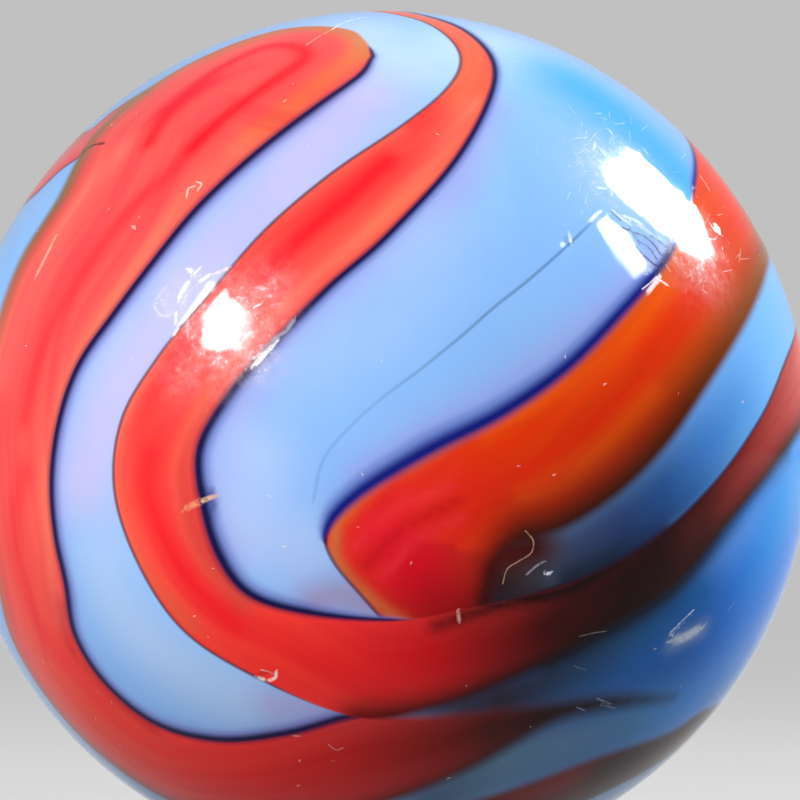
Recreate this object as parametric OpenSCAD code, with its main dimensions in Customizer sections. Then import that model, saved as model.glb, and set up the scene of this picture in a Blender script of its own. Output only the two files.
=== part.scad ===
// Swirled glass marble: one ball of pale blue glass with red bands folded through it.
// The origin is the centre of the ball, +Z is up and -Y faces the viewer.

/* [Ball] */
// Diameter of the ball
ball_d = 16; // [12:0.5:25]

/* [Bands] */
// How deep the red glass runs below the surface
band_depth = 1.6; // [0.6:0.1:3]

/* [Creases] */
// Width of the crease left where two streams of glass met
crease_w = 0.16; // [0.10:0.01:0.24]
// Depth of that crease
crease_depth = 0.04; // [0.02:0.01:0.08]
// Width of the fine crack across the blue field
crack_w = 0.10; // [0.06:0.01:0.16]
// Depth of that crack
crack_depth = 0.025; // [0.015:0.005:0.05]

/* [Chips] */
// Depth of the chip on the inner band's edge
chip_depth = 0.07; // [0.03:0.01:0.12]
// Diameter of that chip
chip_d = 0.5; // [0.3:0.05:0.8]
// Depth of the small pits
pit_depth = 0.03; // [0.01:0.01:0.06]
// Diameter of the small pits
pit_d = 0.3; // [0.2:0.05:0.5]

/* [Hidden] */

blue_glass = [0.56, 0.72, 1.00];
red_glass = [0.92, 0.22, 0.16];
orange_glass = [0.86, 0.30, 0.04];
ball_r = ball_d/2;
ball_fn = 120;         // facets round the ball on screen
dimple_fn = 48;        // facets round the sphere that cuts a dimple
band_steps = 2;        // pieces between two stations of a band
crease_steps = 4;      // pieces of a crease between two stations
clear = 0.6;           // how far a band's cutter stands out of the ball
crease_clear = 0.03;   // how far a crease's cutter stands out of the ball
fade_steps = 5;        // pieces over which a crease fades in and out
fade_start = 0.3;      // share of its full size that a crease starts with
pole_turn = [0, 112, -9]; // runs the seam of the sphere round the bottom, clear of the creases

// Stations across each band, from its start to its end. A station is a point on the band's
// right edge and the point across from it on the left one, as [x, z] on a ball of this diameter
// seen from the front. A third number, 1, puts the point on the far half of the ball.
drawn_d = 16;

// From its round tip at the top, down the left side and along the bottom
outer_band = [
    [[-0.13, 7.25], [-0.10, 7.15]],
    [[-0.60, 7.58], [-0.40, 6.85]],
    [[-1.80, 7.64], [-1.40, 6.07]],
    [[-3.20, 7.18], [-2.45, 5.24]],
    [[-4.50, 6.42], [-3.45, 4.29]],
    [[-5.40, 5.60], [-4.30, 3.33]],
    [[-5.95, 4.45], [-5.00, 2.38]],
    [[-6.55, 3.30], [-5.62, 1.42]],
    [[-7.10, 2.20], [-5.97, 0.45]],
    [[-7.40, 0.80], [-6.13, -0.70]],
    [[-7.40, -0.90], [-6.06, -1.75]],
    [[-7.15, -2.60], [-5.90, -2.65]],
    [[-6.85, -3.75], [-5.72, -3.60]],
    [[-6.10, -4.95], [-5.10, -4.45]],
    [[-4.95, -6.00], [-4.15, -5.20]],
    [[-3.50, -6.60], [-3.00, -5.54]],
    [[-1.80, -6.80], [-1.70, -5.42]],
    [[0.10, -6.40], [-0.40, -5.08]],
    [[1.60, -5.90], [0.90, -5.07]],
    [[3.20, -5.20], [2.40, -4.93]],
    [[4.50, -4.86], [4.20, -4.76]],
    [[5.40, -4.76], [5.40, -4.74]],
];
// The fold that leaves the outer band over the upper left side
fold = [
    [[-4.20, 6.60], [-5.05, 5.50]],
    [[-5.00, 6.12], [-5.85, 5.12]],
    [[-5.48, 5.75], [-6.50, 4.55]],
    [[-5.45, 5.60, 1], [-6.80, 3.95, 1]],
    [[-5.00, 5.25, 1], [-6.60, 3.15, 1]],
    [[-4.40, 4.80, 1], [-5.90, 2.25, 1]],
    [[-3.95, 3.80, 1], [-4.90, 1.50, 1]],
    [[-3.50, 2.20, 1], [-3.90, 1.15, 1]],
];
// Up the back, over the top, round the lower left and away over the right side
inner_band = [
    [[-3.70, 1.15, 1], [-3.30, 1.25, 1]],
    [[-4.25, 2.50, 1], [-2.90, 2.30, 1]],
    [[-4.40, 4.30, 1], [-2.60, 3.90, 1]],
    [[-3.70, 5.75, 1], [-2.00, 5.50, 1]],
    [[-2.40, 7.00, 1], [-1.10, 7.00, 1]],
    [[-1.10, 7.75, 1], [-0.30, 7.80, 1]],
    [[-0.10, 7.98], [0.45, 7.97]],
    [[0.90, 7.66], [1.45, 7.59]],
    [[1.43, 7.10], [2.03, 7.00]],
    [[1.20, 6.50], [1.90, 6.20]],
    [[0.30, 5.80], [1.20, 5.10]],
    [[-1.00, 4.92], [0.05, 3.83]],
    [[-2.20, 3.95], [-1.05, 2.90]],
    [[-3.30, 2.80], [-2.10, 1.93]],
    [[-4.20, 1.58], [-2.90, 0.95]],
    [[-4.85, 0.40], [-3.40, -0.10]],
    [[-4.98, -0.95], [-3.38, -1.10]],
    [[-4.50, -2.40], [-3.05, -2.15]],
    [[-3.60, -3.55], [-2.45, -2.88]],
    [[-2.20, -4.43], [-1.40, -3.27]],
    [[-0.40, -5.08], [0.30, -3.38]],
    [[0.90, -4.93], [1.50, -3.12]],
    [[2.40, -4.28], [2.70, -2.83]],
    [[4.00, -3.50], [4.00, -2.40]],
    [[5.40, -2.70], [5.15, -1.68]],
    [[6.40, -1.40], [6.15, -0.68]],
    [[7.20, -0.20], [7.00, 0.45]],
    [[7.75, 0.55], [7.55, 1.65]],
    [[7.90, 0.95, 1], [7.55, 2.35, 1]],
    [[7.40, 0.60, 1], [6.90, 2.10, 1]],
    [[6.50, -0.75, 1], [5.90, 0.85, 1]],
    [[5.20, -2.40, 1], [4.60, -0.85, 1]],
    [[3.60, -3.80, 1], [3.00, -2.40, 1]],
    [[1.80, -4.75, 1], [1.20, -3.60, 1]],
    [[-0.20, -5.20, 1], [-0.60, -4.15, 1]],
    [[-2.30, -5.15, 1], [-2.40, -4.30, 1]],
    [[-4.20, -4.45, 1], [-4.20, -4.35, 1]],
];
// From its blunt head in the middle, over the right side and across the back to the left side
hook = [
    [[1.75, -3.10], [0.60, -3.45]],
    [[1.83, -2.65], [-0.25, -2.95]],
    [[1.93, -2.22], [-0.95, -2.20]],
    [[2.20, -1.98], [-1.08, -1.60]],
    [[2.60, -1.77], [-0.45, -0.87]],
    [[3.40, -1.47], [0.80, -0.10]],
    [[4.40, -0.85], [2.10, 0.57]],
    [[5.20, 0.00], [3.30, 1.34]],
    [[5.90, 1.05], [4.35, 2.35]],
    [[6.50, 2.10], [5.30, 3.40]],
    [[6.95, 3.05], [5.84, 4.70]],
    [[7.15, 3.58], [5.74, 5.53]],
    [[6.80, 3.75, 1], [4.90, 6.05, 1]],
    [[5.90, 3.30, 1], [3.80, 5.85, 1]],
    [[4.80, 2.35, 1], [2.70, 5.00, 1]],
    [[3.70, 1.25, 1], [1.60, 3.50, 1]],
    [[2.40, -0.10, 1], [0.40, 1.90, 1]],
    [[0.70, -1.35, 1], [-1.20, 0.65, 1]],
    [[-1.40, -2.15, 1], [-3.00, 0.05, 1]],
    [[-3.60, -2.45, 1], [-5.00, 0.15, 1]],
    [[-5.80, -2.25, 1], [-6.70, 1.00, 1]],
    [[-7.40, -2.10, 1], [-7.55, 2.10, 1]],
    [[-7.30, -2.40], [-7.20, 2.60]],
    [[-6.70, -2.60], [-6.70, 2.20]],
];
// A thin streak round the lower right side
streak = [
    [[-1.60, -7.35], [-1.60, -7.30]],
    [[0.10, -7.62], [0.30, -7.02]],
    [[2.20, -7.30], [2.20, -6.50]],
    [[4.20, -6.50], [4.00, -5.85]],
    [[5.50, -5.75], [5.40, -5.38]],
    [[6.05, -5.20], [6.15, -4.95]],
    [[5.50, -5.30, 1], [5.95, -4.50, 1]],
    [[4.20, -6.05, 1], [4.70, -5.00, 1]],
    [[2.40, -6.80, 1], [2.80, -5.95, 1]],
    [[0.30, -7.15, 1], [0.60, -6.50, 1]],
    [[-1.60, -6.95, 1], [-1.50, -6.55, 1]],
    [[-3.10, -6.25, 1], [-3.10, -6.20, 1]],
];
// The crack's line, as points of the same kind
crack_line = [
    [4.05, 4.20], [3.43, 3.60], [2.72, 2.97], [2.09, 2.47], [1.44, 1.90],
    [0.70, 1.30], [0.07, 0.83], [-0.50, 0.33], [-1.06, -0.33], [-1.25, -1.08],
];
// Where the chip and the small pits lie
chip_at = [-3.25, -1.05];
pits_at = [[-3.50, 4.50], [-2.12, -4.35], [2.98, -2.45], [5.80, 4.10], [3.42, 3.62]];

// The direction from the ball's centre to a point of a station
function unit(v) = v/norm(v);
function aim(p) =
    let (x = 2*p[0]/drawn_d, z = 2*p[1]/drawn_d, y = sqrt(max(0, 1 - x*x - z*z)))
    unit([x, len(p) > 2 ? y : -y, z]);

// A smooth line over the ball through a list of directions
function between(a, b, c, d, t) =
    unit(2*b + (c - a)*t + (2*a - 5*b + 4*c - d)*t*t + (3*b - a - 3*c + d)*t*t*t);
function smooth(p, steps) =
    let (n = len(p), q = concat([2*p[0] - p[1]], p, [2*p[n - 1] - p[n - 2]]))
    concat([for (i = [0:n - 2], k = [0:steps - 1])
        between(q[i], q[i + 1], q[i + 2], q[i + 3], k/steps)], [p[n - 1]]);
function edge(band, side, steps) = smooth([for (s = band) aim(s[side])], steps);
function seam(band, side, first, last) =
    let (line = edge(band, side, crease_steps))
    [for (i = [first*crease_steps:last*crease_steps]) line[i]];

// A closed skin over a row of rings that all have as many points
module skin(rings) {
    n = len(rings);
    m = len(rings[0]);
    quads = [for (i = [0:n - 2], j = [0:m - 1])
        [i*m + j, i*m + (j + 1)%m, (i + 1)*m + (j + 1)%m, (i + 1)*m + j]];
    first = [for (j = [m - 1:-1:0]) j];
    last = [for (j = [0:m - 1]) (n - 1)*m + j];
    polyhedron(points = [for (r = rings) each r], faces = concat(quads, [first, last]));
}

module ball() {
    rotate(pole_turn) sphere(d = ball_d, $fn = ball_fn);
}

// The space that one band of coloured glass takes up, from its depth to outside the ball
module band(stations) {
    right = edge(stations, 0, band_steps);
    left = edge(stations, 1, band_steps);
    outside = ball_r + clear;
    inside = ball_r - band_depth;
    skin([for (i = [0:len(left) - 1])
        [right[i]*outside, left[i]*outside, left[i]*inside, right[i]*inside]]);
}

module red_bands() {
    band(outer_band);
    band(fold);
    band(inner_band);
    band(streak);
}

// A V-shaped crease along a line, fading in and out at its ends
module crease(line, width, depth) {
    n = len(line);
    skin([for (i = [0:n - 1]) let (
        along = unit(line[min(i + 1, n - 1)] - line[max(i - 1, 0)]),
        across = cross(line[i], along),
        share = min(1, fade_start + (1 - fade_start)*min(i, n - 1 - i)/fade_steps),
        half = share*width/2*(1 + crease_clear/(share*depth)))
        [line[i]*(ball_r + crease_clear) - across*half,
         line[i]*(ball_r + crease_clear) + across*half,
         line[i]*(ball_r - share*depth)]]);
}

// The creases follow the sharp edges of the bands, from one station to another
module creases() {
    crease(seam(outer_band, 1, 1, 16), crease_w, crease_depth);
    crease(seam(fold, 1, 0, 6), crease_w, crease_depth);
    crease(seam(inner_band, 0, 4, 19), crease_w, crease_depth);
    crease(seam(inner_band, 1, 1, 20), crease_w, crease_depth);
    crease(seam(inner_band, 1, 22, 35), crease_w, crease_depth);
    crease(seam(hook, 1, 1, 20), crease_w, crease_depth);
    crease(smooth([for (p = crack_line) aim(p)], crease_steps), crack_w, crack_depth);
}

// A shallow round dimple
module dimple(p, width, depth) {
    r = (width*width/4 + depth*depth)/(2*depth);
    translate(aim(p)*(ball_r + r - depth)) sphere(r, $fn = dimple_fn);
}

module chips() {
    dimple(chip_at, chip_d, chip_depth);
    for (p = pits_at) dimple(p, pit_d, pit_depth);
}

module blue_field() {
    difference() {
        ball();
        red_bands();
        band(hook);
    }
}

module red_field() {
    intersection() {
        ball();
        red_bands();
    }
}

// The hook dives under the red bands where they meet
module orange_field() {
    difference() {
        intersection() {
            ball();
            band(hook);
        }
        red_bands();
    }
}

module marble() {
    difference() {
        union() {
            color(blue_glass) blue_field();
            color(red_glass) red_field();
            color(orange_glass) orange_field();
        }
        creases();
        chips();
    }
}

marble();
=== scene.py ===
import math
import bmesh
import bpy
import numpy as np
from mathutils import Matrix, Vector


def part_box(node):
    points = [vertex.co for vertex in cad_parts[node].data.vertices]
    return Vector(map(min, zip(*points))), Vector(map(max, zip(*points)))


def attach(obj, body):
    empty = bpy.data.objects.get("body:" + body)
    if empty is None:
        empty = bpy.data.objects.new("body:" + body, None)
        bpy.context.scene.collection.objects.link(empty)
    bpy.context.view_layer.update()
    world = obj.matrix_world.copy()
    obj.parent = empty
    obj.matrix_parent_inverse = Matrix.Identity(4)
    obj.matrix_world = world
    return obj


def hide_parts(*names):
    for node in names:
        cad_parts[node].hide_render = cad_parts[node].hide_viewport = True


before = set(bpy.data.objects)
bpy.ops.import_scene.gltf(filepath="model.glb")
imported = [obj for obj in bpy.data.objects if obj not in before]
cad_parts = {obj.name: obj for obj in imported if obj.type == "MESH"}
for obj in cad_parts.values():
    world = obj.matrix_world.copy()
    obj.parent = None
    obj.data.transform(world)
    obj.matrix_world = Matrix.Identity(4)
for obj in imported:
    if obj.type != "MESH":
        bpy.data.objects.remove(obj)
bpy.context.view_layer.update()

# ---- sizes, in mm unless they say otherwise
MM = 0.001  # metres
low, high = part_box("marble")
BALL_R = (high[0] - low[0])/2/MM
DRAWN_R = 8.0  # radius of the ball that the stations below are drawn on
CURVE_STEPS = 8  # pieces of a curve between two stations

BASE_LEVEL = 7  # subdivisions of the round mesh
FINE_REACH = 0.17  # how near a crease the mesh is split once
MARK_REACH = (0.10, 0.06, 0.04)  # how near a scratch or speck it is split, three times

CREASE_W = 0.26  # the shallow groove along a layer's hard edge
CREASE_DEPTH = 0.010
CREASE_FADE = 5  # points of its line over which a groove fades at its ends
CREASE_START = 0.3  # share of its depth at the ends
CRACK_W = 0.16  # the hairline crack
CRACK_DEPTH = 0.005
CHIP_D = 0.5  # the chip in the inner band's left edge
CHIP_DEPTH = 0.04
PIT_D = 0.3  # the small pits
PIT_DEPTH = 0.03

# ---- the bands' stations, as in the part's source or close to it
# [x, z, x, z] of the right and the left edge, seen from the front; a fifth number, 1, is the far half
OUTER_BAND = [
    [-0.26, 7.35, -0.19, 7.11], [-0.64, 7.62, -0.48, 6.73], [-1.8, 7.64, -1.4, 6.07],
    [-3.2, 7.18, -2.45, 5.24], [-4.5, 6.42, -3.45, 4.29], [-5.4, 5.6, -4.26, 3.3],
    [-6.01, 4.49, -4.97, 2.36], [-6.71, 3.35, -5.62, 1.42], [-7.13, 2.21, -5.97, 0.45],
    [-7.4, 0.8, -6.13, -0.7], [-7.4, -0.9, -6.06, -1.75], [-7.15, -2.6, -5.87, -2.65],
    [-6.85, -3.75, -5.7, -3.6], [-6.1, -4.95, -5.14, -4.49], [-4.97, -6.06, -4.18, -5.26],
    [-3.56, -6.86, -3, -5.56], [-1.78, -7.08, -1.7, -5.42], [0.17, -6.68, -0.4, -5.08],
    [1.67, -6.07, 0.9, -5.07], [3.2, -5.2, 2.4, -4.93], [4.5, -4.92, 4.2, -4.7], [5.4, -4.76, 5.4, -4.74],
]
FOLD = [
    [-4.2, 6.6, -5.05, 5.5], [-5, 6.12, -5.85, 5.12], [-5.48, 5.75, -6.5, 4.55],
    [-5.45, 5.6, -6.8, 3.95, 1], [-5, 5.25, -6.6, 3.15, 1], [-4.4, 4.8, -5.9, 2.25, 1],
    [-3.95, 3.8, -4.9, 1.5, 1], [-3.5, 2.2, -3.9, 1.15, 1],
]
INNER_BAND = [
    [-3.7, 1.15, -3.3, 1.25, 1], [-4.25, 2.5, -2.9, 2.3, 1], [-4.4, 4.3, -2.6, 3.9, 1],
    [-3.7, 5.75, -2, 5.5, 1], [-2.4, 7, -1.1, 7, 1], [-1.1, 7.75, -0.3, 7.8, 1], [-0.1, 7.98, 0.45, 7.97],
    [0.94, 7.69, 1.47, 7.63], [1.45, 7.12, 2.03, 7], [1.2, 6.5, 1.9, 6.2], [0.32, 5.77, 1.24, 5.07],
    [-0.98, 4.88, 0.08, 3.8], [-2.14, 3.88, -1, 2.85], [-3.17, 2.7, -2, 1.83], [-4.12, 1.53, -2.82, 0.9],
    [-4.79, 0.38, -3.39, -0.1], [-4.92, -0.94, -3.35, -1.1], [-4.43, -2.37, -3.03, -2.15],
    [-3.59, -3.55, -2.45, -2.86], [-2.19, -4.41, -1.39, -3.19], [-0.4, -5.1, 0.3, -3.3],
    [0.9, -4.97, 1.5, -3.1], [2.45, -4.4, 2.7, -2.83], [4.05, -3.58, 4, -2.4], [5.44, -2.71, 5.17, -1.7],
    [6.5, -1.48, 6.19, -0.72], [7.39, -0.38, 7.02, 0.44], [7.85, 0.28, 7.56, 1.64],
    [7.9, 0.95, 7.55, 2.35, 1], [7.4, 0.6, 6.9, 2.1, 1], [6.5, -0.75, 5.9, 0.85, 1],
    [5.2, -2.4, 4.6, -0.85, 1], [3.6, -3.8, 3, -2.4, 1], [1.8, -4.75, 1.2, -3.6, 1],
    [-0.2, -5.2, -0.6, -4.15, 1], [-2.3, -5.15, -2.4, -4.3, 1], [-4.2, -4.45, -4.2, -4.35, 1],
]
HOOK = [
    [1.75, -3.6, 0.55, -3.85], [1.95, -2.77, -0.26, -2.97], [2.06, -2.32, -0.91, -2.18],
    [2.27, -2.05, -0.98, -1.66], [2.68, -1.87, -0.36, -1], [3.48, -1.57, 0.9, -0.24],
    [4.46, -0.91, 2.19, 0.42], [5.28, -0.07, 3.37, 1.24], [6, 0.97, 4.41, 2.28], [6.66, 2.02, 5.31, 3.38],
    [7.11, 2.99, 5.8, 4.7], [7.19, 3.5, 5.74, 5.53], [6.8, 3.75, 4.9, 6.05, 1], [5.9, 3.3, 3.8, 5.85, 1],
    [4.8, 2.35, 2.7, 5, 1], [3.7, 1.25, 1.6, 3.5, 1], [2.4, -0.1, 0.4, 1.9, 1],
    [0.7, -1.35, -1.2, 0.65, 1], [-1.4, -2.15, -3, 0.05, 1], [-3.6, -2.45, -5, 0.15, 1],
    [-5.8, -2.25, -6.7, 0.6, 1], [-7.4, -2.1, -7.6, 0.9, 1], [-7.3, -2.4, -7.4, 1],
    [-6.7, -2.6, -6.8, 0.8],
]
STREAK = [
    [-1.6, -7.35, -1.6, -7.3], [0.1, -7.62, 0.3, -7.02], [2.2, -7.3, 2.2, -6.5], [4.2, -6.5, 4, -5.85],
    [5.5, -5.75, 5.4, -5.38], [6.05, -5.2, 6.15, -4.95], [5.5, -5.3, 5.95, -4.5, 1],
    [4.2, -6.05, 4.7, -5, 1], [2.4, -6.8, 2.8, -5.95, 1], [0.3, -7.15, 0.6, -6.5, 1],
    [-1.6, -6.95, -1.5, -6.55, 1], [-3.1, -6.25, -3.1, -6.2, 1],
]
CRACK = [
    [4.05, 4.2], [3.43, 3.6], [2.72, 2.97], [2.09, 2.47], [1.44, 1.9],
    [0.7, 1.3], [0.07, 0.83], [-0.5, 0.33], [-1.06, -0.33], [-1.25, -1.08],
]
CHIP = [-3.25, -1.05]
PITS = [[-3.5, 4.5], [-2.12, -4.35], [2.98, -2.45], [6.16, 3.93], [3.42, 3.62]]

# the right and the left edge along the stations, as (station, mm): how far it is blurred to each side,
# and how wide its navy seam and its hairline are
NONE = [(0, 0)]
BANDS = {
    "outer": {"stations": OUTER_BAND,
              "blur": ([(0, .04), (4, .1), (6, .16), (8, .18), (9, .14), (12, .1), (17, .2),
                        (19, .26), (21, .3)],
                       [(0, .05), (1, .03), (16, .03), (18, .16), (21, .28)]),
              "navy": (NONE, [(0, .08), (1, .14), (2, .19), (15, .19), (16.8, .17), (17.3, 0)])},
    "fold": {"stations": FOLD,
             "blur": ([(0, .15), (2, .05)], [(0, .2), (1, .05), (7, .04)]),
             "navy": (NONE, [(0, 0), (1, .07), (2, .12), (6, .12), (7, 0)])},
    "inner": {"stations": INNER_BAND,
              "blur": ([(0, .03), (20, .03), (21, .18), (23, .2), (25, .18), (27, .16), (30, .1)],
                       [(0, .03), (21, .04), (36, .03)]),
              "navy": (NONE, [(0, 0), (1, .12), (6, .09), (10, .12), (13, .15), (15, .2), (17, .23),
                              (19, .16), (20.3, 0)]),
              "hair": ([(4, 0), (5, .05), (19, .05), (20, 0)],
                       [(21.5, 0), (22.5, .06), (35, .06), (36, 0)])},
    "hook": {"stations": HOOK,
             "blur": ([(0, .25), (3, .2), (5, .13), (12, .12), (23, .12)],
                      [(0, .05), (8, .07), (12, .03)]),
             # the seam is left out from station 9.25 to 9.75, where the right highlight lies over it:
             # painted highlight
             "navy": (NONE, [(2.4, 0), (3.4, .2), (5, .26), (8.6, .18), (9.1, .08), (9.25, 0), (9.75, 0),
                             (9.95, .09), (13, .12), (20, .12), (21, 0)]),
             "hair": (NONE, [(0, 0), (0.6, .05), (2.6, .05), (3.4, 0)])},
    "streak": {"stations": STREAK,
               "blur": ([(0, .15), (11, .15)], [(0, .2), (11, .15)])},
}
# the grooves: (band, 0 for its right edge or 1 for its left, from station, to station)
CREASES = [("outer", 1, 1, 16), ("fold", 1, 0, 6), ("inner", 0, 4, 19), ("inner", 1, 1, 20),
           ("inner", 1, 22, 35), ("hook", 1, 1, 9), ("hook", 1, 10, 20)]


# ---- soft strokes of colour in each layer
# (colours from end to end, width in mm, strength, places as "x z", or "x z 1" on the far half)
BASE_STROKES = [
    # darker towards the lower right: partly the glass's deeper blue, partly painted shade
    ("#008EFE #0088FE #0C7CE4 #20589C", 2.4, 1, "7.7 -1.6, 6.8 -3, 5.4 -4.2, 3.6 -4.9"),
    ("#BCDAFB", 1.2, 1, "2.2 7.3, 0.6 7.1, -0.6 7.5"),
    ("#C6C4F2", 1, 1, "-0.4 6.3, -1.9 4.6, -3.1 3.4, -4.3 1.8, -5 0.6, -5.5 -0.8"),
    ("#B6D4FE", 0.9, 1, "-5.1 -2.3, -4.7 -3.3, -3.6 -4.3, -2.6 -4.8"),
    ("#B4B2E4", 0.5, 0.8, "-1.9 -4.9, -1.2 -4.95"),
    ("#44AEF8", 1.2, 0.9, "3.6 6.6, 4.6 5.8, 5.6 4.8, 6.2 3.6"),
    ("#A8A8E8", 0.5, 0.7, "1.9 6.2, 1.3 4.7, 0.3 3.6, -1 2.5, -2.2 1.2, -2.8 0.1, -2.9 -0.9, -2.6 -1.8"),
    ("#BCD2FE", 0.9, 0.8, "-2.3 -0.4, -2.2 -1.5, -1.5 -2"),
    ("#A89EC8", 0.42, 0.95, "-1.2 -2.95, -0.7 -2.85, -0.1 -3.05"),
    ("#AACCFE", 0.9, 0.7, "0.9 3.6, 0 2.3, -1.3 1.4"),
    ("#A4B0F4", 0.4, 0.6, "5 3.4, 3.6 2, 2.2 0.95, 0.9 0.2, -0.4 -0.6"),
    # darker downwards to the dark pocket: partly the glass's own colour, partly painted shade
    ("#84C2FE #7CC0FE #5CA4F0 #4488DC #2860A8 #304880 #3A4A74 #465066 #4F3835", 1.15, 1,
     "7.6 3.2, 7.1 1.6, 6.5 0.5, 5.7 -0.5, 4.8 -1.3, 3.9 -1.9, 3.1 -2.3, 2.5 -2.5"),
    ("#50464C #4F3830 #4C2C24", 0.3, 0.6, "3.1 -1.95, 2.7 -2.08, 2.3 -2.25"),
    ("#480400 #560400 #560400 #480404 #480404", 0.42, 1,
     "2.8 -1.95, 2.2 -2.1, 1.95 -2.3, 1.9 -2.7, 1.9 -3.1"),
    ("#480C06 #380C08 #301410 #34241F #3C3438", 0.32, 0.95, "1.9 -2.3, 2.1 -2.6, 2.4 -2.72, 2.8 -2.7"),
    # these two: a dark fringe along the inner band's lower edge, partly the glass's own colour, partly
    # painted shade
    ("#2C0404 #200404 #140404 #100408 #140814 #2C1420", 0.17, 1,
     "1.8 -2.95, 2.2 -3, 2.8 -2.92, 3.4 -2.7, 4.2 -2.3, 5.2 -1.65"),
    ("#141420 #101C34 #18407C #3070BC #60A8EC", 0.24, 0.8,
     "3.4 -2.5, 4.2 -2.1, 5.1 -1.5, 5.9 -0.8, 6.7 0.2"),
    # these four: blues darker towards the lower right, partly the glass's deeper blue, partly painted
    # shade
    ("#1868C0 #2C5E9C #343C58", 1.4, 1, "5 -4.1, 3.4 -4.6, 1.6 -5"),
    ("#5CB0FE #38A8FE #1898FE #0078E8 #0864C0", 0.9, 1, "8 0, 7.5 -1.2, 7.1 -2.3, 6.4 -3.1, 5.7 -3.5"),
    ("#0868BC #1C5C96 #2C4A70 #342C3C", 0.55, 1, "5.8 -2.9, 4.8 -3.4, 3.5 -4.2, 2.2 -4.8"),
    ("#3C7CC0 #2478D8 #104080 #0E2440 #101C2C #141C28", 0.26, 0.9,
     "7.5 -0.25, 6.85 -1.05, 6.1 -1.98, 5.4 -2.75, 4.3 -3.45, 3.1 -4.06"),
    ("#2098FC #2C9AFC #4C8CC4 #688EB8 #6890B0 #5C7CA0", 0.75, 1,
     "6.6 -4.2, 5.7 -4.9, 4.6 -5.25, 3.4 -5.6, 2.2 -6, 1 -6.6"),
    ("#E0383C", 0.1, 1, "-3.87 1.2 1, -3.7 1.22 1"),
    ("#10144A", 0.1, 1, "-3.16 -0.98, -3.12 -1.2, -3.18 -1.42"),
    # painted reflection: the pale patch at the lower right
    ("#98B0DC", 0.22, 0.6, "5.4 -3.72, 5.66 -3.62, 5.9 -3.5"),
]
OUTER_STROKES = [
    # darker towards its tail at the lower right: partly the glass's own colour, partly painted shade
    ("#FE5450 #FE483E #FE3828 #FE3228 #F62A26 #DE2020 #A01616 #54140F #20100C #140A08", 1.5, 1,
     "-6.8 -1.2, -6.3 -3.4, -5.3 -5, -4 -5.9, -2.4 -6.1, -0.9 -6, 0.6 -5.7, 1.9 -5.35, 3.4 -5, "
     "5.4 -4.75"),
    ("#FE5C5A", 0.4, 0.55, "-2.2 6.7, -3.2 6, -4.3 5, -5.2 3.9"),
    ("#FE2030", 0.22, 0.62, "-6.6 0.4, -6.1 2.1, -5.4 3.3, -4.7 4.2, -3.9 4.95, -3.1 5.75"),
    ("#FE0620", 0.19, 0.92,
     "-3.5 5.4, -3.1 5.8, -2.2 6.5, -1.5 7, -1.5 7.25, -2.1 7.3, -2.9 6.95, -3.5 6.5, -4 6, -4.3 5.5"),
    ("#FE1030", 0.35, 0.85, "-3.3 6.6, -4 6.1"),
    ("#FE2030", 0.3, 0.55, "-6.6 -0.6, -6.8 -1.6, -6.6 -2.8, -6 -4"),
    ("#E08454 #EA7448 #EE6640 #F06448", 0.3, 0.9, "-0.3 7.3, -0.6 7, -1.6 6.2, -2.6 5.4"),
    ("#F8705E", 0.3, 0.75,
     "-2.6 5.4, -3.6 4.4, -4.5 3.2, -5.3 2, -5.9 0.6, -6.15 -0.8, -6.1 -2.2, -5.9 -3.3"),
    ("#E07848 #DC7040 #E06038 #E4582C", 0.2, 0.9,
     "-0.35 7.1, -0.4 7.35, -0.9 7.62, -1.6 7.62, -2.4 7.42, -3.2 7.1"),
    ("#8A6838", 0.32, 0.85, "-5.7 5.25, -5.85 4.9, -6 4.5"),
    ("#FE7668", 0.4, 0.6, "-4.9 5.3, -5.6 4.4, -6.1 3.5, -6.6 2.5, -7 1.2"),
    ("#B81818", 0.14, 0.45, "-5.95 -3, -5.75 -3.8, -5.1 -4.65, -4.2 -5.35"),
]
FOLD_STROKES = [
    ("#E83A48", 0.3, 0.7, "-4.6 6.1, -5.4 5.4, -6 4.7"),
    ("#C4704E", 0.2, 0.7, "-4.7 5.7, -5.4 5.3"),
]
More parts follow.
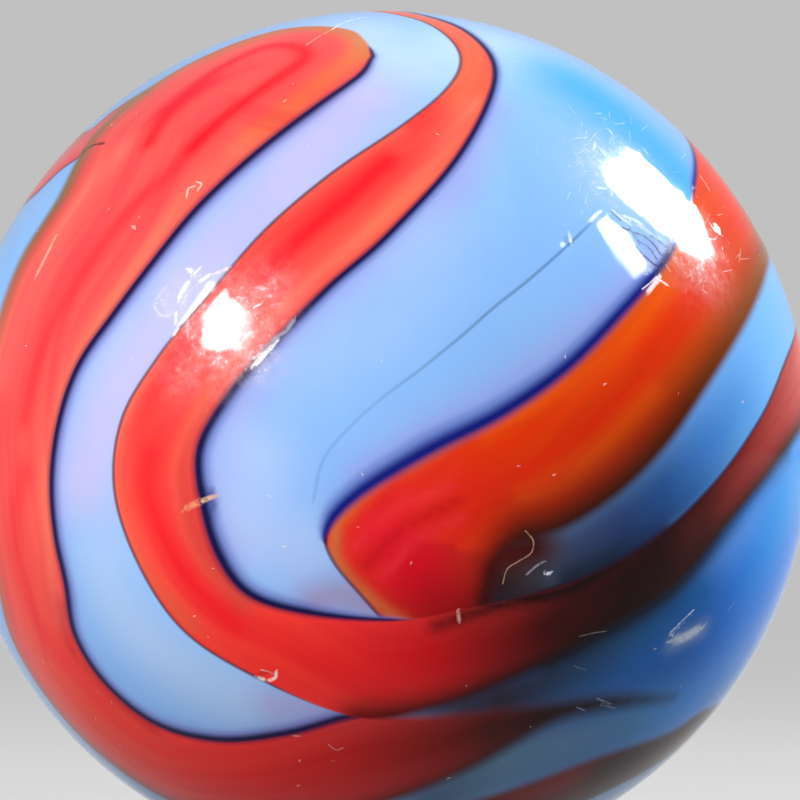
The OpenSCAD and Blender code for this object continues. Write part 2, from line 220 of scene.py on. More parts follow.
INNER_STROKES = [
    # near black in the lower right: partly the glass's own dark colour, partly painted shade
    ("#FE4840 #FE3E36 #FE302A #F42226 #D80E18 #A00C12 #540608 #260404 #140202 #1C0404 #500A0A #841C1C "
     "#C04A44", 1.3, 1,
     "-4 -1.6, -3.2 -2.9, -2 -3.8, -0.5 -4.1, 0.9 -4, 1.9 -3.8, 2.9 -3.5, 3.8 -3.05, 4.6 -2.55, "
     "5.3 -1.9, 5.9 -1.15, 6.6 -0.1, 7.5 1.5"),
    ("#E8684C", 0.45, 0.9, "0.6 7.8, 1.5 7.4, 1.7 6.9, 1.5 6.3"),
    ("#F8705A #F8705A #F4685A #E85C4A #E04C40 #D8443A", 0.28, 0.8,
     "1.7 6.2, 0.9 5, -0.3 3.8, -1.3 2.9, -2.3 1.9, -3.1 0.8, -3.6 -0.2, -3.6 -1.1, -3.2 -2.2, "
     "-2.6 -2.9"),
    ("#F06A54 #F06A54 #FE7A66 #F86450 #E8503C", 0.19, 0.8,
     "0.3 5.7, -1 4.8, -2.3 3.8, -3.4 2.6, -4.2 1.5, -4.75 0.4, -4.85 -0.9, -4.4 -2.3, -3.5 -3.4"),
    ("#FE0A24", 0.24, 0.85, "0.1 5.15, -0.2 4.9, -0.6 4.5, -1.3 3.9, -2.1 3.1"),
    ("#FE2834", 0.26, 0.45, "-3.6 1.8, -4.1 0.8, -4.3 0"),
    ("#FE1426", 0.26, 0.75, "-4.3 -0.3, -4.35 -0.8, -4.1 -1.6, -3.5 -2.6, -2.7 -3.4"),
    # these two: dark red-browns in the lower right, partly the glass's own colour, partly painted shade
    ("#480808 #2A0404 #2A0606 #541414", 0.55, 1, "3.6 -3.3, 4.5 -2.85, 5.2 -2.3, 5.8 -1.7"),
    ("#8C0A10 #2C0406 #1C0406 #1C0606 #240A0A #4A1014", 0.15, 1,
     "1 -3.4, 2.2 -3, 3.4 -2.75, 4.4 -2.2, 5.3 -1.5, 6.2 -0.5"),
]
HOOK_STROKES = [
    ("#A0040E #DC0420 #F0162A #F0241C #F02C08 #EC3600 #E83C00 #E63E00", 1.6, 1,
     "1.2 -3.2, 0.6 -2.4, 0.3 -1.7, 0.9 -1.2, 1.8 -0.9, 2.7 -0.5, 3.6 0.3, 4.6 1.2"),
    ("#F82404", 0.6, 0.85, "6.2 4.9, 6.7 4, 6.9 3.4"),
    ("#F22400", 0.18, 0.6, "6.5 3.3, 5.6 2.1, 4.6 0.9, 3.6 0.1, 2.6 -0.6"),
    ("#FA2E00", 0.14, 0.5, "5.7 2.8, 4.6 1.6, 3.4 0.6, 2.2 -0.1"),
    ("#FF5C04", 0.2, 0.6, "5.3 2.9, 4.1 1.5, 3 0.75, 1.9 0.15"),
    ("#FF5400", 0.22, 0.5, "5 0.9, 4.1 0, 3.2 -0.6, 2.6 -0.95"),
    ("#FE3A44", 0.1, 0.4, "-0.5 -2, 0.2 -1.25, 1.3 -0.85"),
    ("#FE3A44", 0.09, 0.4, "0 -2.5, 0.7 -1.8, 1.5 -1.4"),
    ("#C00010", 0.1, 0.5, "-0.3 -2.3, 0.4 -1.6, 1.4 -1.1"),
    ("#DC6828", 0.15, 0.85,
     "5.7 4.3, 5.3 3.4, 4.3 2.2, 3.2 1.2, 2 0.4, 0.8 -0.25, -0.2 -0.85, -0.85 -1.5"),
    ("#D06A3C", 0.12, 0.85, "-0.85 -1.7, -0.8 -2.2, -0.2 -2.9, 0.5 -3.4"),
]
STREAK_STROKES = [
    ("#8C2018", 0.5, 0.9, "1.4 -6.9, 2.6 -6.6, 3.4 -6.3"),
    # darker towards the lower right: partly the glass's own colour, partly painted shade
    ("#2A1010", 0.5, 0.9, "4.2 -6.1, 5.4 -5.5, 6 -5.1"),
]
# the layers' own colours, under their strokes
TINTS = {"base": ("#90C2FE", BASE_STROKES), "outer": ("#FE5052", OUTER_STROKES),
         "fold": ("#F2525C", FOLD_STROKES), "inner": ("#FE4640", INNER_STROKES),
         "hook": ("#E64000", HOOK_STROKES), "streak": ("#5A1C18", STREAK_STROKES)}

# strokes along a band's soft right edge: (from station, to station, width in mm, colours)
SOFT_EDGES = {
    "outer": [(0, 4, 0.26, "#D8885C #D07848 #C07048 #A07048"),
              (4, 9, 0.42, "#907048 #806840 #806840 #A47450 #C07858"),
              # darker towards the tail at the lower right: partly the glass's own colour, partly painted
              # shade
              (9, 21, 0.34, "#C87858 #C86850 #C05040 #A83028 #902018 #6A1810 #40180E #24120C #1A0E0C")],
    "fold": [(0, 2, 0.25, "#8A5A3C #A85040")],
    # near black in the lower right: partly the glass's own colour, partly painted shade
    "inner": [(20, 29, 0.42, "#7C0E10 #3A0606 #1C0604 #140804 #0C0C08 #101408 #1C1808 #402810 #5C3418")],
    "hook": [(0, 4, 0.28, "#3A0000 #4A0000 #480400"),
             (4, 11, 0.72, "#401000 #381000 #401800 #502200 #703A04 #80460A #905414")],
    "streak": [(0, 10, 0.3, "#2A1414 #2A1414")],
}

# ---- scratches, specks and scuffs, and painted glints and highlight bloom
# drawn one by one: (colour, half width in mm, strength, places)
MARKS = [
    ("#C8A484", 0.016, 0.8, "2.64 -1.66, 2.78 -1.84, 2.74 -2.06, 2.5 -2.22, 2.3 -2.36, 2.22 -2.62"),
    # these two: painted glints beside the curled scratch
    ("#B8B8C8", 0.026, 0.7, "2.68 -2.44, 2.84 -2.3, 2.98 -2.22"),
    ("#F0F0FF", 0.042, 0.85, "3.05 -2.45, 3.08 -2.44"),
    # a painted glint above the pale patch at the lower right
    ("#D8E8FF", 0.028, 0.85, "5.33 -3.54, 5.53 -3.34, 5.74 -3.14"),
    ("#B8D0F8", 0.012, 0.55, "6.4 -3.14, 6.5 -3.02"),
    # these two: painted glints
    ("#A8A098", 0.014, 0.55, "3.64 -3.6, 3.9 -3.54, 4.12 -3.51"),
    ("#8894A8", 0.014, 0.45, "3.54 -4.14, 3.66 -4.2, 3.76 -4.22"),
    # these two: a painted glint at the top, and the pale line below it
    ("#FFFFFF", 0.02, 0.8, "-0.95 7.6, -0.66 7.77, -0.3 7.86"),
    ("#FFE0D0", 0.014, 0.55, "-1.4 7.32, -1.1 7.52, -0.95 7.6"),
    ("#FFC4AC", 0.06, 0.65, "-6.05 3.72, -6.2 3.42, -6.38 3.06"),
    # these two: painted glints round the pit at -3.5 4.5
    ("#FFE4D8", 0.026, 0.8, "-3.6 4.5, -3.56 4.64, -3.46 4.68"),
    ("#FFE4D8", 0.024, 0.7, "-3.38 4.62, -3.32 4.72, -3.4 4.76"),
    ("#FFC8B8", 0.041, 0.7, "-4.58 3.94, -4.56 3.93"),
    # these eight: painted glints
    ("#FFE8E0", 0.045, 0.85, "-2.26 -4.36, -2.18 -4.4"),
    ("#FFE8E0", 0.038, 0.85, "-2.08 -4.42, -1.96 -4.36, -1.94 -4.26"),
    ("#FFD8D0", 0.022, 0.7, "-2.2 -4.22, -2.05 -4.26"),
    ("#F0A8A0", 0.041, 0.75, "1.4 -3.14, 1.42 -3.3"),
    ("#FFB0A8", 0.028, 0.55, "-6.3 -4.08, -6.26 -4.12"),
    ("#F0B0A8", 0.025, 0.6, "-1.62 -5.44, -1.52 -5.44"),
    ("#F0B0A8", 0.017, 0.6, "-0.98 -5.6, -0.84 -5.7, -0.72 -5.66"),
    ("#E8A0A0", 0.019, 0.5, "-0.92 -5.9, -0.88 -5.91"),
    # a painted glint at the pit on the crack
    ("#FFFFFF", 0.038, 0.9, "3.45 3.79, 3.48 3.67"),
    ("#E8F4FF", 0.028, 0.6, "2.52 7.62, 2.58 7.6"),
    # these two: a painted glint on the chip, over the seam
    ("#F0946C", 0.075, 0.95, "-3.58 -1.24, -3.34 -1.12"),
    ("#E8B898", 0.055, 0.9, "-3.3 -1.11, -3.16 -1.05, -3.06 -1.02"),
    ("#2A1410", 0.04, 0.85, "-5.54 5.34, -5.38 5.46, -5.16 5.5"),
    ("#A8C0E0", 0.02, 0.4, "3.6 -4.92, 3.74 -4.98"),
    ("#A8C0E0", 0.026, 0.45, "3.98 -4.76, 4.22 -4.86"),
    ("#A8C0E0", 0.018, 0.4, "4.04 -4.88, 4.3 -4.94"),
    # from here to the left highlight's marks: painted highlight in and round the right highlight, its pale
    # patches, glints and sparkle, with dark lines across it
    ("#A8BCE8", 0.1, 0.7, "5.22 3.64, 5.02 3.36, 4.92 3.16"),
    ("#D0DCF4", 0.05, 0.7, "4.72 3.98, 4.92 3.84, 5.12 3.7"),
    ("#E8F0FC", 0.04, 0.7, "4.46 4.14, 4.66 4.06, 4.8 3.98"),
    ("#30344C", 0.044, 1, "5.36 3.73, 5.29 3.51, 5.2 3.3, 5.08 3.09"),
    ("#343A60", 0.026, 1, "4.7 3.56, 4.84 3.4, 5.01 3.25, 5.13 3.18"),
    ("#3C4470", 0.024, 1, "4.44 3.92, 4.63 3.84, 4.82 3.77, 5.01 3.61, 5.13 3.44"),
    ("#3C4470", 0.022, 0.95, "4.58 3.89, 4.72 3.68, 4.91 3.56, 5.06 3.35"),
    ("#4C5888", 0.026, 0.95, "4.96 3.77, 5.1 3.68, 5.25 3.56"),
    ("#4C5888", 0.024, 0.9, "4.82 4.13, 4.92 4.04, 4.99 3.94"),
    ("#4870A8", 0.026, 0.85, "4.24 4.2, 4.39 4.06"),
    ("#485878", 0.026, 0.9, "5.76 4.72, 5.72 4.41, 5.64 4.2"),
    ("#F4FAFF", 0.018, 0.85, "4.26 4.24, 4.44 4.08, 4.58 3.98"),
    ("#FFE4DC", 0.014, 0.85, "5.91 4.89, 6 4.76, 6.07 4.63"),
    ("#FFF6F2", 0.04, 0.9, "6.1 3.99, 6.26 3.82"),
    ("#E8F8FF", 0.02, 0.85, "3.86 4.03, 4.04 4.22"),
    ("#FFF0EC", 0.034, 0.85, "5.1 2.97, 5.25 2.87"),
    ("#F8E8F4", 0.02, 0.8, "4.8 2.79, 4.94 2.9, 5.06 3.02"),
    ("#E0F4FF", 0.014, 0.7, "3.92 5.36, 3.95 5.48"),
    ("#D8F0FF", 0.014, 0.55, "4.32 5.85, 4.49 5.87"),
    ("#D8F0FF", 0.016, 0.55, "3.97 6.05, 4.06 6.05"),
    ("#E0F4FF", 0.03, 0.65, "4.22 5.72, 4.26 5.66"),
    ("#E0F4FF", 0.034, 0.55, "4.03 5.38, 4.14 5.26"),
    ("#E0F4FF", 0.026, 0.6, "4.84 5.4, 4.9 5.32"),
    ("#E8F8FF", 0.03, 0.6, "3.98 4.66, 4.12 4.64"),
    # from here to the pale patch: painted glints and bloom round the left highlight
    ("#FFFFFF", 0.06, 0.8, "-3.53 3.13, -3.5 3.11"),
    ("#FFFFFF", 0.036, 0.7, "-3.45 3.06, -3.35 3.16"),
    ("#FFFFFF", 0.05, 0.85, "-3.33 2.93, -3.17 3.04"),
    ("#FFFFFF", 0.066, 0.75, "-3.56 2.89, -3.65 2.77, -3.71 2.65"),
    ("#FFFFFF", 0.036, 0.75, "-3.77 2.33, -3.79 2.16"),
    ("#FFF0F4", 0.04, 0.8, "-3.75 2.06, -3.82 1.95"),
    ("#FFE8F0", 0.044, 0.8, "-3.03 3.08, -2.84 3.16"),
    ("#F4F4FF", 0.04, 0.4, "-4.18 2.46, -4.07 2.31, -3.94 2.29"),
    ("#F4F4FF", 0.05, 0.28, "-4.11 2.63, -3.99 2.8"),
    ("#FFE8F0", 0.034, 0.45, "-3.37 2.57, -3.45 2.42"),
    ("#FFC8D0", 0.04, 0.55, "-3.56 2.21, -3.56 1.95"),
    ("#FFFFFF", 0.03, 0.8, "-2.32 2.46, -2.22 2.51"),
    ("#FFC8D0", 0.036, 0.45, "-2.3 2.8, -2.13 2.78"),
    ("#FFF4FA", 0.046, 0.8, "-2.34 1.52, -2.26 1.56"),
    ("#B8BCD4", 0.05, 0.55, "-2.2 1.66, -1.98 1.86, -1.76 2.02, -1.62 2.2"),
    ("#F0F0FA", 0.024, 0.7, "-2.24 1.58, -2.06 1.72, -1.9 1.84"),
    # painted reflection: the pale patch at the lower right
    ("#D4E0F4", 0.14, 0.8, "5.44 -3.68, 5.62 -3.62, 5.82 -3.5"),
]
# drawn at random: pairs are the least and the most, and half widths are in mm
SEED = 7
# where fine scratches were rubbed in, round the highlights, painted pale as their glints: (middle, spread
# in mm, how many, longest in mm)
RUBBED = [([4.3, 5.1], 0.55, 90, 0.22), ([5.9, 3.4], 0.45, 45, 0.25),
          ([-3.6, 2.5], 0.35, 20, 0.14), ([-2.3, 1.6], 0.3, 16, 0.16)]
RUBBED_RUN = (0.2, 1.0)  # length, as a share of the longest
RUBBED_HALF = (0.005, 0.011)
RUBBED_STRENGTH = (0.15, 0.6)
# the scratches' pale colour is a painted glint
SCRATCH_GLINT_COLOUR = "#F4F8FF"
RUBBED_WITHIN = 0.97  # share of the radius that they keep within
SPECKS = 150  # tiny pale specks, all over the ball
SPECK_RUN = 0.0012  # length, as a share of the radius
SPECK_HALF = (0.01, 0.024)
SPECK_STRENGTH = (0.3, 0.8)
SPECK_COLOUR = "#FFEEE6"
# the field round a mark, in its half widths
MARK_REACHES = 8.0  # how far it reaches
MARK_COVERS = 1.4  # how near a later mark lies over an earlier one
MARK_FADES = 6  # where its nearness has run out
# scuffed, duller patches round the highlights, which also carry the painted bloom and glints: (place,
# radius in mm, strength)
SCUFFS_AND_BLOOM = [([4.4, 4.9], 1, 0.7), ([5.8, 3.5], 0.8, 0.9), ([-2.8, 2.05], 0.95, 1), ([-3.6, 2.6], 0.55, 0.7),
          ([-2.3, 1.5], 0.5, 0.9), ([-2.2, 2.7], 0.6, 0.6), ([-3.6, 1.2], 0.5, 0.4)]


def colour(code):
    """A colour written as on screen, made linear."""
    parts = [int(code[i:i + 2], 16)/255 for i in (1, 3, 5)]
    return tuple(p/12.92 if p <= 0.04045 else ((p + 0.055)/1.055)**2.4 for p in parts) + (1.0,)


# ---- curves on the ball
POINTS_AT_ONCE = 5000  # measured together, to save memory
SAME_GAP = 1e-7  # two gaps this close are the same, in radii
NO_GAP = 1e-6  # mm; keeps a share from dividing by zero


def unit(v):
    """Vectors made one long."""
    return v/np.linalg.norm(v, axis=-1, keepdims=True)


def aim(place):
    """The direction of a place from the ball's middle."""
    x, z = place[0]/DRAWN_R, place[1]/DRAWN_R
    y = math.sqrt(max(0.0, 1 - x*x - z*z))
    return unit(np.array([x, y if len(place) > 2 else -y, z]))


def places_of(words):
    """The places, or pixels, that a string names."""
    return [[float(number) for number in place.split()] for place in words.split(", ")]


def edge_of(name, side):
    """The places along a band's right edge, side 0, or its left, side 1."""
    return [s[2*side:2*side + 2] + s[4:] for s in BANDS[name]["stations"]]


def smooth(places):
    """A smooth line on the unit ball through places, and the station of each of its points."""
    p = [aim(q) for q in places]
    q = [2*p[0] - p[1]] + p + [2*p[-1] - p[-2]]
    line, at = [], []
    for i in range(len(p) - 1):
        a, b, c, d = q[i:i + 4]
        for k in range(CURVE_STEPS):
            t = k/CURVE_STEPS
            line.append(2*b + (c - a)*t + (2*a - 5*b + 4*c - d)*t*t + (3*b - a - 3*c + d)*t**3)
            at.append(i + t)
    return unit(np.array(line + [p[-1]])), np.array(at + [len(p) - 1.0])


def nearest(points, line, closed=False):
    """For each point: distance in mm (positive on the line's left), the line's nearest piece, and the
    share along that."""
    n = len(line)
    parts = np.array_split(points, 1 + len(points)//POINTS_AT_ONCE)
    corner = np.concatenate([np.argmax(part @ line.T, axis=1) for part in parts])
    sides, gaps, pieces, shares = [], [], [], []
    for step in (-1, 0):
        first = (corner + step) % n if closed else np.clip(corner + step, 0, n - 2)
        a = line[first]
        run = line[(first + 1) % n] - a
        share = np.clip(((points - a)*run).sum(1)/(run*run).sum(1), 0, 1)
        foot = a + run*share[:, None]
        away = points - foot
        left = np.cross(foot, run)
        sides.append((left*away).sum(1)/np.linalg.norm(run, axis=1))
        gaps.append(np.linalg.norm(away, axis=1))
        pieces.append(first)
        shares.append(share)
    tie = np.abs(gaps[0] - gaps[1]) < SAME_GAP
    pick = gaps[1] < gaps[0]
    side = np.where(tie, sides[0] + sides[1], np.where(pick, sides[1], sides[0]))
    gap = np.where(pick, gaps[1], gaps[0])
    piece = np.where(pick, pieces[1], pieces[0])
    share = np.where(pick, shares[1], shares[0])
    return np.where(side < 0, -gap, gap)*BALL_R, piece, share


def read_off(values, piece, share):
    """A line's values where nearest() found its points."""
    after = np.roll(values, -1)
    return values[piece]*(1 - share) + after[piece]*share


def styled(keys, at):
    """(station, mm) pairs read at each station of at."""
    stations = [k[0] for k in keys]
    return np.interp(at, stations, [k[1] for k in keys])


# ---- the ball's mesh
def round_mesh():
    """A ball of one radius: its points and its triangles."""
    bm = bmesh.new()
    bmesh.ops.create_icosphere(bm, subdivisions=BASE_LEVEL, radius=1.0)
    points = np.array([v.co[:] for v in bm.verts])
    faces = np.array([[v.index for v in f.verts] for f in bm.faces])
    bm.free()
    return unit(points), faces


def around(points, line, reach):
    """Which points lie in a ball round a line that holds all that is nearer than reach, in mm."""
    middle = line.mean(axis=0)
    radius = np.linalg.norm(line - middle, axis=1).max() + reach/BALL_R
    return np.flatnonzero(((points - middle)**2).sum(1) < radius*radius)


def halved(faces, mid):
    """The faces, split at the points that mid numbers on their sides; -1 is a whole side."""
    count = (mid >= 0).sum(1)
    out = [faces[count == 0]]
    a, b, c = faces[count == 3].T
    p, q, r = mid[count == 3].T
    out += [np.stack(f, 1) for f in ((a, p, r), (p, b, q), (r, q, c), (p, q, r))]
    for turn in range(3):
        f, m = np.roll(faces, -turn, axis=1), np.roll(mid, -turn, axis=1)
        one = (count == 1) & (m[:, 0] >= 0)
        a, b, c = f[one].T
        p = m[one, 0]
        out += [np.stack([a, p, c], 1), np.stack([p, b, c], 1)]
        two = (count == 2) & (m[:, 2] < 0)
        a, b, c = f[two].T
        p, q = m[two, 0], m[two, 1]
        out += [np.stack([p, b, q], 1), np.stack([a, p, q], 1), np.stack([a, q, c], 1)]
    return np.vstack(out)


def split_near(points, faces, lines, reach):
    """Halves each edge near one of the lines, and the faces on it, so the skin stays closed."""
    sides = np.stack([faces, np.roll(faces, -1, axis=1)], axis=2).reshape(-1, 2)
    edges, where = np.unique(np.sort(sides, axis=1), axis=0, return_inverse=True)
    where = where.reshape(-1, 3)
    middle = unit(points[edges[:, 0]] + points[edges[:, 1]])
    chosen = np.zeros(len(edges), bool)
    for line in lines:
        close = around(middle, line, reach)
        chosen[close[np.abs(nearest(middle[close], line)[0]) < reach]] = True
    number = np.full(len(edges), -1)
    number[chosen] = len(points) + np.arange(chosen.sum())
    return np.vstack([points, middle[chosen]]), halved(faces, number[where])


def shares_along(count):
    """How deep a crease is at each point of its line: it fades at its ends."""
    i = np.arange(count)
    from_end = np.minimum(i, count - 1 - i)
    return np.minimum(1, CREASE_START + (1 - CREASE_START)*from_end/CREASE_FADE)


def press_in(points, line, width, depth):
    """How deep a groove along a line is at each point, in mm."""
    gap, piece, share = nearest(points, line)
    size = read_off(shares_along(len(line)), piece, share)
    share = np.clip(1 - np.abs(gap)/(width/2), 0, 1)
    return depth*size*share*share*(3 - 2*share)


def dimple(points, place, width, depth):
    """How deep a round hollow is at each point, in mm."""
    gap = np.linalg.norm(points - aim(place), axis=1)*BALL_R
    return depth*np.clip(1 - (gap/(width/2))**2, 0, 1)


# ---- fields over the surface
def band_fields(points, name):
    """Along, from the right edge and inside, and the edge's blur, seam and hairline, all in mm."""
    right, at = smooth(edge_of(name, 0))
    left, _ = smooth(edge_of(name, 1))
    loop = np.vstack([right, left[::-1]])
    inside, piece, share = nearest(points, loop, closed=True)
    styles = {}
    for style in ("blur", "navy", "hair"):
        on_right, on_left = BANDS[name].get(style, (NONE, NONE))
        rim = np.concatenate([styled(on_right, at), styled(on_left, at)[::-1]])
        styles[style] = read_off(rim, piece, share)
    middle = unit(right + left)
    length = np.concatenate([[0], np.cumsum(np.linalg.norm(np.diff(middle, axis=0), axis=1))])*BALL_R
    near_right, right_piece, right_share = nearest(points, right)
    near_left, left_piece, left_share = nearest(points, left)
    to_right, to_left = np.abs(near_right), np.abs(near_left)
    across = to_right/(to_right + to_left + NO_GAP)
    along = (read_off(length, right_piece, right_share)*(1 - across)
             + read_off(length, left_piece, left_share)*across)
    return {"along": along, "across": to_right, "inside": inside, **styles}


def painted(points, start, strokes):
    """A layer's colour at each point: its own colour under its soft strokes."""
    look = np.tile(colour(start)[:3], (len(points), 1))
    for codes, width, strength, places in strokes:
        line = smooth(places)[0]
        gap, piece, at = nearest(points, line)
        tones = np.array([colour(code)[:3] for code in codes.split()])
        along = np.clip((piece + at)/(len(line) - 1), 0, 1)*(len(tones) - 1)
        tone = np.stack([np.interp(along, np.arange(len(tones)), tones[:, i]) for i in range(3)], 1)
        share = strength*np.exp(-(gap/width)**2)
        look += (tone - look)*share[:, None]
    return look


def soft_edges(name):
    """The strokes of colour along a band's soft right edge."""
    return [(codes, width, 1.0, edge_of(name, 0)[first:last + 1])
            for first, last, width, codes in SOFT_EDGES.get(name, [])]


def patches(points, spots):
    """How much of each point is in soft round patches."""
    total = np.zeros(len(points))
    for place, radius, strength in spots:
        gap = np.linalg.norm(points - aim(place), axis=1)*BALL_R
        total = np.maximum(total, strength*np.exp(-(gap/radius)**2))
    return total


def rubbed_marks(rng):
    """Fine straight scratches in the rubbed places, painted pale as their glints, and specks all over."""
    marks = []
    for middle, spread, count, longest in RUBBED:
        for _ in range(count):
            start = np.array(middle) + rng.normal(0, spread, 2)
            angle = rng.uniform(0, math.pi)
            run = rng.uniform(*RUBBED_RUN)*longest*np.array([math.cos(angle), math.sin(angle)])
            ends = [(start + run*share).tolist() for share in (0, 0.5, 1)]
            if max(math.hypot(*end) for end in ends) < RUBBED_WITHIN*DRAWN_R:
                half = rng.uniform(*RUBBED_HALF)
                marks.append((smooth(ends)[0], half, rng.uniform(*RUBBED_STRENGTH), SCRATCH_GLINT_COLOUR))
    for middle in unit(rng.normal(0, 1, (SPECKS, 3))):
        line = unit(np.stack([middle, middle + rng.normal(0, SPECK_RUN, 3)]))
        half = rng.uniform(*SPECK_HALF)
        marks.append((line, half, rng.uniform(*SPECK_STRENGTH), SPECK_COLOUR))
    return marks


def mark_fields(points, marks):
    """Half widths to the nearest mark or the last that covers a point, strength, nearness; its colour."""
    best = np.full(len(points), MARK_REACHES)
    sign, strength = np.ones(len(points)), np.zeros(len(points))
    tint = np.ones((len(points), 3))
    for line, half, force, code in marks:
        near = around(points, line, MARK_REACHES*half)
        if len(near) == 0:
            continue
        gap, _, _ = nearest(points[near], line)
        away = np.abs(gap)/half
        closer = (away < best[near]) | (away < MARK_COVERS)
        chosen = near[closer]
        best[chosen] = away[closer]
        sign[chosen] = np.sign(gap[closer])
        strength[chosen] = force
        tint[chosen] = colour(code)[:3]
    return np.stack([best*sign, strength, np.clip(1 - best/MARK_FADES, 0, 1)], 1), tint


def surface_fields(points, marks):
    """All that the glass is painted from, by the names of its attributes."""
    out = {}
    for name in BANDS:
        f = band_fields(points, name)
        out[name] = np.stack([f["along"], f["across"], f["inside"]], 1)
        out[name + "_edge"] = np.stack([f["blur"], f["navy"], f["hair"]], 1)
    for name, (start, strokes) in TINTS.items():
        strokes = [(*look, places_of(places)) for *look, places in strokes]
        out[name + "_tint"] = painted(points, start, strokes + soft_edges(name))
    crack = smooth(CRACK)[0]
    gap, piece, share = nearest(points, crack)
    at = read_off(np.linspace(0, 1, len(crack)), piece, share)
    out["crack"] = np.stack([gap, at, np.clip(1 - np.abs(gap), 0, 1)], 1)
    out["marks"], out["mark_tint"] = mark_fields(points, marks)
    out["scuffs_and_bloom"] = patches(points, SCUFFS_AND_BLOOM)
    return out


def all_creases():
    """The grooves and the crack, as (line, width, depth)."""
    creases = []
    for name, side, first, last in CREASES:
        line, _ = smooth(edge_of(name, side))
        creases.append((line[first*CURVE_STEPS:last*CURVE_STEPS + 1], CREASE_W, CREASE_DEPTH))
    return creases + [(smooth(CRACK)[0], CRACK_W, CRACK_DEPTH)]


def all_marks():
    """The scratches, specks and painted glints, as (line, half width, strength, colour)."""
    marks = rubbed_marks(np.random.default_rng(SEED))
    for code, half, strength, places in MARKS:
        marks.append((smooth(places_of(places))[0], half, strength, code))
    return marks


def sunk_by(points, creases):
    """How far each point is pressed in, in mm."""
    sunk = [press_in(points, line, width, depth) for line, width, depth in creases]
    sunk.append(dimple(points, CHIP, CHIP_D, CHIP_DEPTH))
    sunk += [dimple(points, pit, PIT_D, PIT_DEPTH) for pit in PITS]
    return np.max(sunk, axis=0)


def store(mesh, name, values):
    """Keeps a field as an attribute of the mesh's points."""
    flat = values.ndim == 1
    layer = mesh.attributes.new(name, "FLOAT" if flat else "FLOAT_VECTOR", "POINT")
    layer.data.foreach_set("value" if flat else "vector", values.astype(np.float32).ravel())


def marble_mesh():
    """The whole ball, finer at its creases and marks, with its fields."""
    points, faces = round_mesh()
    creases = all_creases()
    marks = all_marks()
    points, faces = split_near(points, faces, [crease[0] for crease in creases], FINE_REACH)
    for reach in MARK_REACH:
        points, faces = split_near(points, faces, [mark[0] for mark in marks], reach)
    radius = BALL_R - sunk_by(points, creases)
    mesh = bpy.data.meshes.new("marble_glass")
    mesh.from_pydata((points*radius[:, None]*MM).tolist(), [], faces.tolist())
    mesh.shade_smooth()
    for name, values in surface_fields(points, marks).items():
        store(mesh, name, values)
    return mesh


# ---- materials
WHITE = (1.0, 1.0, 1.0, 1.0)


class Paint:
    """Short calls that add nodes to a node tree."""

    def __init__(self, owner):
        owner.use_nodes = True
        self.tree = owner.node_tree
        self.tree.nodes.clear()

    def end(self, shader, kind="OutputMaterial"):
        """Links a shader to the output."""
        self.tree.links.new(shader.outputs[0], self.node(kind).inputs["Surface"])

    def node(self, kind, inputs=(), **settings):
        """A new node, with values or links in its inputs."""
        n = self.tree.nodes.new("ShaderNode" + kind)
        for key, value in settings.items():
            setattr(n, key, value)
        for key, value in dict(inputs).items():
            self.put(value, n.inputs[key])
        return n

    def put(self, value, socket):
        """Links a socket, or sets its value."""
        if isinstance(value, bpy.types.NodeSocket):
            self.tree.links.new(value, socket)
        else:
            socket.default_value = value

    def field(self, name, kind="Color"):
        """One of the mesh's fields."""
        return self.node("Attribute", attribute_name=name).outputs[kind]

    def parts(self, name):
        """The three numbers of a field."""
        return self.node("SeparateXYZ", {"Vector": self.field(name, "Vector")}).outputs

    def calc(self, kind, a, b=0.0, c=0.0):
        return self.node("Math", {0: a, 1: b, 2: c}, operation=kind).outputs[0]

    def times(self, a, b):
        return self.calc("MULTIPLY", a, b)

    def ramp(self, value, low, high, to_low=0.0, to_high=1.0):
        """A value eased from to_low, where it is low or less, to to_high."""
        inputs = {0: value, 1: low, 2: high, 3: to_low, 4: to_high}
        return self.node("MapRange", inputs, interpolation_type="SMOOTHSTEP").outputs[0]

    def mix(self, share, a, b, blend="MIX"):
        """Colour b over colour a, by a share."""
        n = self.node("Mix", data_type="RGBA", blend_type=blend)
        self.put(share, n.inputs[0])
        self.put(a, n.inputs[6])
        self.put(b, n.inputs[7])
        return n.outputs[2]

    def place(self, x, y, z):
        return self.node("CombineXYZ", {0: x, 1: y, 2: z}).outputs[0]

    def noise(self, vector, scale=1.0, detail=2.0, rough=0.5, warp=0.0):
        return self.node("TexNoise", {"Vector": vector, "Scale": scale, "Detail": detail,
                                      "Roughness": rough, "Distortion": warp}).outputs["Fac"]


NOISE_SPAN = (0.34, 0.66)  # what most of a noise's values lie between

# the layers, from the lowest up: the colours of the dark seam at an edge, and of the rim outside that
LAYERS = {"streak": ("#1A1250", "#3C58B4"), "hook": ("#101C80", "#3C58B4"), "fold": ("#2A1440", "#6A68B8"),
          "outer": ("#1C1048", "#6A68B8"), "inner": ("#141048", "#5464B4")}
HALO = "#8C88DC"  # outside the rim
HAIRLINE = "#34122E"
SEED_STEP = 3.0  # between the noises of two layers

# streaks that run along a band: cells of noise to a mm, along it and across it
SWAY_CELLS = (0.25, 0.5)
WIDE_CELLS = (0.16, 1.9)
FINE_CELLS = (0.16, 6.0)
WIDE_SHARE = 0.72
FINE_SHARE = 0.28
STREAKS_START = (0.4, 2.0)  # mm along the band over which they come in
STREAKS_SHARE = (0.05, 0.55)  # how much they shade it before and after
DARK_STREAK = (0.92, 0.62, 0.80, 1.0)
BRIGHT_STREAK = (1.0, 1.40, 1.10, 1.0)

